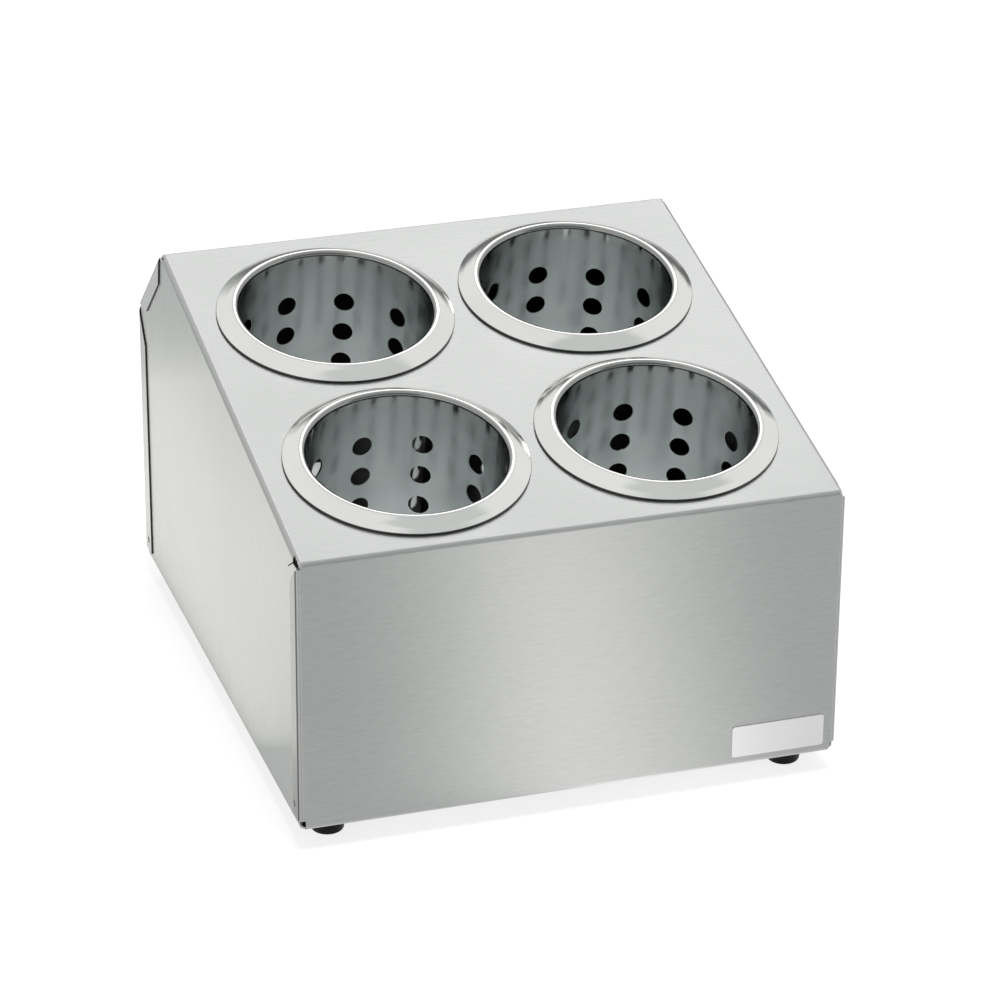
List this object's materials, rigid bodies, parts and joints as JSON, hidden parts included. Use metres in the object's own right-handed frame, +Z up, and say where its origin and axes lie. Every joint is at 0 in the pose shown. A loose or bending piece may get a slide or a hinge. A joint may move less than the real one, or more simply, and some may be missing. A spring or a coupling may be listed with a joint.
{
  "type": "cutlery dispenser",
  "caption": "Countertop cutlery dispenser: a folded steel housing whose sloping top holds deep round perforated cups for forks, knives and spoons that lift out.",
  "frame": {"origin": "on the table, under the middle of the housing's base", "axes": "+X to the right of a guest who faces the low front, +Y to the back, +Z up"},
  "size_m": [0.2746, 0.3134, 0.2078],
  "materials": {
    "housing_steel": "brushed",
    "cup_steel": "polished",
    "foot_rubber": "smooth",
    "fastener_steel": "zinc plated",
    "plate_aluminium": "satin"
  },
  "bodies": {
    "housing": {"housing_shell": "housing_steel", "label_plate": "plate_aluminium", "foot_front_left": "foot_rubber", "foot_front_right": "foot_rubber", "foot_rear_left": "foot_rubber", "foot_rear_right": "foot_rubber", "foot_washer_front_left": "fastener_steel", "foot_washer_front_right": "fastener_steel", "foot_washer_rear_left": "fastener_steel", "foot_washer_rear_right": "fastener_steel", "foot_screw_front_left": "fastener_steel", "foot_screw_front_right": "fastener_steel", "foot_screw_rear_left": "fastener_steel", "foot_screw_rear_right": "fastener_steel", "foot_nut_front_left": "fastener_steel", "foot_nut_front_right": "fastener_steel", "foot_nut_rear_left": "fastener_steel", "foot_nut_rear_right": "fastener_steel"},
    "cup_front_left": {"cup_front_left": "cup_steel"},
    "cup_front_right": {"cup_front_right": "cup_steel"},
    "cup_rear_left": {"cup_rear_left": "cup_steel"},
    "cup_rear_right": {"cup_rear_right": "cup_steel"}
  },
  "joints": [
    {"name": "cup_front_left_lift", "type": "slide", "parent": "housing", "child": "cup_front_left", "axis": [0, -0.1951, 0.9808], "range_m": [0, 0.15]},
    {"name": "cup_front_right_lift", "type": "slide", "parent": "housing", "child": "cup_front_right", "axis": [0, -0.1951, 0.9808], "range_m": [0, 0.15]},
    {"name": "cup_rear_left_lift", "type": "slide", "parent": "housing", "child": "cup_rear_left", "axis": [0, -0.1951, 0.9808], "range_m": [0, 0.15]},
    {"name": "cup_rear_right_lift", "type": "slide", "parent": "housing", "child": "cup_rear_right", "axis": [0, -0.1951, 0.9808], "range_m": [0, 0.15]}
  ]
}
